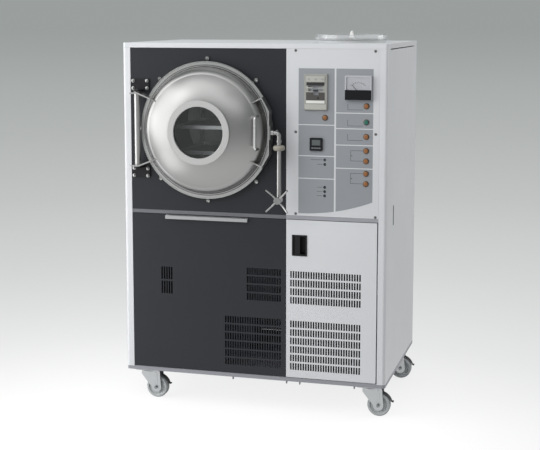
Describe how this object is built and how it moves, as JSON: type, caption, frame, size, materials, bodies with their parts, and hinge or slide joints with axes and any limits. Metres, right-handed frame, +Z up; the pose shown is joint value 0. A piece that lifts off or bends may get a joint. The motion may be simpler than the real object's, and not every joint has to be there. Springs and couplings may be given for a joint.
{
  "type": "freeze dryer",
  "caption": "Floor-standing freeze dryer on braked casters, with a domed drying chamber door, lidded cold trap, control panel and slotted lower panels.",
  "frame": {"origin": "floor level, in the middle of the machine's overall outline", "axes": "+Z up, -Y towards the front with the chamber door, +X to the right of it"},
  "size_m": [1.051, 0.829, 1.4566],
  "materials": {
    "frame": "satin",
    "casing": "satin",
    "dark_panel": "satin",
    "control_panel": "satin",
    "stainless": "brushed",
    "stainless_door": "brushed",
    "seal": "matte",
    "fasteners": "polished",
    "clear_lid": "clear",
    "white_plastic": "gloss",
    "pump": "satin",
    "compressor": "satin",
    "fins": "matte",
    "black_metal": "satin",
    "hinge": "satin",
    "zinc": "zinc plated",
    "beige_plastic": "matte",
    "black_plastic": "matte",
    "meter_plastic": "gloss",
    "needle": "matte",
    "instrument_plastic": "matte",
    "lamps": "gloss",
    "window_ring": "satin",
    "window": "clear",
    "chrome_wire": "polished",
    "phenolic": "matte",
    "pull": "satin",
    "amber_cap": "gloss",
    "green_cap": "gloss",
    "wheel_rubber": "matte"
  },
  "bodies": {
    "cabinet": {"base_frame": "frame", "inner_frame": "frame", "left_side_panel": "casing", "right_side_panel": "casing", "rear_panel": "casing", "top_cover": "casing", "chamber_panel": "dark_panel", "control_panel": "control_panel", "chamber_vessel": "stainless", "door_seal": "seal", "cap_nuts": "fasteners", "shelf_rack": "stainless", "trap_vessel": "stainless", "trap_lid": "clear_lid", "lid_knob": "white_plastic", "vacuum_pump": "pump", "compressor": "compressor", "condenser_coil": "fins", "fan_shroud": "black_metal", "hinge_brackets": "hinge", "caster_plates": "zinc", "breaker_case": "beige_plastic", "meter_case": "meter_plastic", "temperature_controller": "instrument_plastic", "indicator_lamps": "lamps"},
    "fan": {"fan_blade": "black_metal"},
    "toggle": {"breaker_toggle": "black_plastic"},
    "needle": {"meter_needle": "needle"},
    "chamber_door": {"door_dome": "stainless_door", "window_ring": "window_ring", "window_glass": "window", "door_handle": "chrome_wire", "clamp_bracket": "stainless"},
    "clamp": {"clamp_arm": "stainless"},
    "hand_nut": {"clamp_nut": "phenolic"},
    "star": {"star_handle": "chrome_wire"},
    "service_cover": {"service_panel": "dark_panel", "panel_pull": "pull"},
    "slotted_door": {"condenser_door": "casing", "latch_cup": "black_plastic"},
    "paddle": {"latch_paddle": "black_plastic"},
    "button_pump_body": {"button_pump": "amber_cap"},
    "button_start_body": {"button_start": "green_cap"},
    "button_freeze_body": {"button_freeze": "amber_cap"},
    "button_vacuum_body": {"button_vacuum": "amber_cap"},
    "button_drying_body": {"button_drying": "amber_cap"},
    "button_heater_body": {"button_heater": "amber_cap"},
    "button_defrost_body": {"button_defrost": "amber_cap"},
    "fork_front_left_body": {"fork_front_left": "zinc"},
    "wheel_front_left_body": {"wheel_front_left": "wheel_rubber"},
    "pedal_front_left_body": {"pedal_front_left": "black_metal"},
    "fork_front_right_body": {"fork_front_right": "zinc"},
    "wheel_front_right_body": {"wheel_front_right": "wheel_rubber"},
    "pedal_front_right_body": {"pedal_front_right": "black_metal"},
    "fork_rear_left_body": {"fork_rear_left": "zinc"},
    "wheel_rear_left_body": {"wheel_rear_left": "wheel_rubber"},
    "pedal_rear_left_body": {"pedal_rear_left": "black_metal"},
    "fork_rear_right_body": {"fork_rear_right": "zinc"},
    "wheel_rear_right_body": {"wheel_rear_right": "wheel_rubber"},
    "pedal_rear_right_body": {"pedal_rear_right": "black_metal"}
  },
  "joints": [
    {"name": "fan_spin", "type": "hinge", "parent": "cabinet", "child": "fan", "pos_m": [0.2975, -0.1505, 0.372], "axis": [0, 1, 0], "continuous": true},
    {"name": "toggle_flip", "type": "hinge", "parent": "cabinet", "child": "toggle", "pos_m": [0.236, -0.287, 1.241], "axis": [1, 0, 0], "range_deg": [-25, 25]},
    {"name": "needle_swing", "type": "hinge", "parent": "cabinet", "child": "needle", "pos_m": [0.3958, -0.3015, 1.2375], "axis": [0, 1, 0], "range_deg": [0, 84], "stiffness_Nm_per_rad": 0.0005, "springref_deg": -28.65},
    {"name": "chamber_door_hinge", "type": "hinge", "parent": "cabinet", "child": "chamber_door", "pos_m": [-0.4535, -0.3315, 1.085], "axis": [0, 0, -1], "range_deg": [0, 110]},
    {"name": "clamp_swing", "type": "hinge", "parent": "chamber_door", "child": "clamp", "pos_m": [0.1075, -0.3415, 1.085], "axis": [-1, 0, 0], "range_deg": [0, 90]},
    {"name": "hand_nut_turn", "type": "hinge", "parent": "clamp", "child": "hand_nut", "pos_m": [0.1075, -0.3415, 1.029], "axis": [0, 0, 1], "continuous": true},
    {"name": "star_turn", "type": "hinge", "parent": "clamp", "child": "star", "pos_m": [0.1075, -0.3415, 0.835], "axis": [0, 1, 0], "continuous": true},
    {"name": "service_cover_tilt", "type": "hinge", "parent": "cabinet", "child": "service_cover", "pos_m": [-0.1855, -0.2885, 0.152], "axis": [1, 0, 0], "range_deg": [0, 30]},
    {"name": "slotted_door_hinge", "type": "hinge", "parent": "cabinet", "child": "slotted_door", "pos_m": [0.464, -0.2865, 0.451], "axis": [0, 0, 1], "range_deg": [0, 110]},
    {"name": "paddle_turn", "type": "hinge", "parent": "slotted_door", "child": "paddle", "pos_m": [0.1561, -0.288, 0.658], "axis": [0, 0, -1], "range_deg": [0, 30], "stiffness_Nm_per_rad": 0.05, "springref_deg": -17.19},
    {"name": "button_pump_press", "type": "slide", "parent": "cabinet", "child": "button_pump_body", "axis": [0, 1, 0], "range_m": [0, 0.003], "stiffness_N_per_m": 200, "springref_m": -0.002},
    {"name": "button_start_press", "type": "slide", "parent": "cabinet", "child": "button_start_body", "axis": [0, 1, 0], "range_m": [0, 0.003], "stiffness_N_per_m": 200, "springref_m": -0.002},
    {"name": "button_freeze_press", "type": "slide", "parent": "cabinet", "child": "button_freeze_body", "axis": [0, 1, 0], "range_m": [0, 0.003], "stiffness_N_per_m": 200, "springref_m": -0.002},
    {"name": "button_vacuum_press", "type": "slide", "parent": "cabinet", "child": "button_vacuum_body", "axis": [0, 1, 0], "range_m": [0, 0.003], "stiffness_N_per_m": 200, "springref_m": -0.002},
    {"name": "button_drying_press", "type": "slide", "parent": "cabinet", "child": "button_drying_body", "axis": [0, 1, 0], "range_m": [0, 0.003], "stiffness_N_per_m": 200, "springref_m": -0.002},
    {"name": "button_heater_press", "type": "slide", "parent": "cabinet", "child": "button_heater_body", "axis": [0, 1, 0], "range_m": [0, 0.003], "stiffness_N_per_m": 200, "springref_m": -0.002},
    {"name": "button_defrost_press", "type": "slide", "parent": "cabinet", "child": "button_defrost_body", "axis": [0, 1, 0], "range_m": [0, 0.003], "stiffness_N_per_m": 200, "springref_m": -0.002},
    {"name": "swivel_front_left", "type": "hinge", "parent": "cabinet", "child": "fork_front_left_body", "pos_m": [-0.4585, -0.2115, 0.1067], "axis": [0, 0, 1], "continuous": true},
    {"name": "roll_front_left", "type": "hinge", "parent": "fork_front_left_body", "child": "wheel_front_left_body", "pos_m": [-0.4265, -0.2115, 0.044], "axis": [0, 1, 0], "continuous": true},
    {"name": "brake_front_left", "type": "hinge", "parent": "fork_front_left_body", "child": "pedal_front_left_body", "pos_m": [-0.4175, -0.2115, 0.092], "axis": [0, 1, 0], "range_deg": [0, 4], "stiffness_Nm_per_rad": 0.3, "springref_deg": -11.46},
    {"name": "swivel_front_right", "type": "hinge", "parent": "cabinet", "child": "fork_front_right_body", "pos_m": [0.4375, -0.2115, 0.1067], "axis": [0, 0, 1], "continuous": true},
    {"name": "roll_front_right", "type": "hinge", "parent": "fork_front_right_body", "child": "wheel_front_right_body", "pos_m": [0.4695, -0.2115, 0.044], "axis": [0, 1, 0], "continuous": true},
    {"name": "brake_front_right", "type": "hinge", "parent": "fork_front_right_body", "child": "pedal_front_right_body", "pos_m": [0.4785, -0.2115, 0.092], "axis": [0, 1, 0], "range_deg": [0, 4], "stiffness_Nm_per_rad": 0.3, "springref_deg": -11.46},
    {"name": "swivel_rear_left", "type": "hinge", "parent": "cabinet", "child": "fork_rear_left_body", "pos_m": [-0.4585, 0.3045, 0.1067], "axis": [0, 0, 1], "continuous": true},
    {"name": "roll_rear_left", "type": "hinge", "parent": "fork_rear_left_body", "child": "wheel_rear_left_body", "pos_m": [-0.4265, 0.3045, 0.044], "axis": [0, 1, 0], "continuous": true},
    {"name": "brake_rear_left", "type": "hinge", "parent": "fork_rear_left_body", "child": "pedal_rear_left_body", "pos_m": [-0.4175, 0.3045, 0.092], "axis": [0, 1, 0], "range_deg": [0, 4], "stiffness_Nm_per_rad": 0.3, "springref_deg": -11.46},
    {"name": "swivel_rear_right", "type": "hinge", "parent": "cabinet", "child": "fork_rear_right_body", "pos_m": [0.4375, 0.3045, 0.1067], "axis": [0, 0, 1], "continuous": true},
    {"name": "roll_rear_right", "type": "hinge", "parent": "fork_rear_right_body", "child": "wheel_rear_right_body", "pos_m": [0.4695, 0.3045, 0.044], "axis": [0, 1, 0], "continuous": true},
    {"name": "brake_rear_right", "type": "hinge", "parent": "fork_rear_right_body", "child": "pedal_rear_right_body", "pos_m": [0.4785, 0.3045, 0.092], "axis": [0, 1, 0], "range_deg": [0, 4], "stiffness_Nm_per_rad": 0.3, "springref_deg": -11.46}
  ]
}
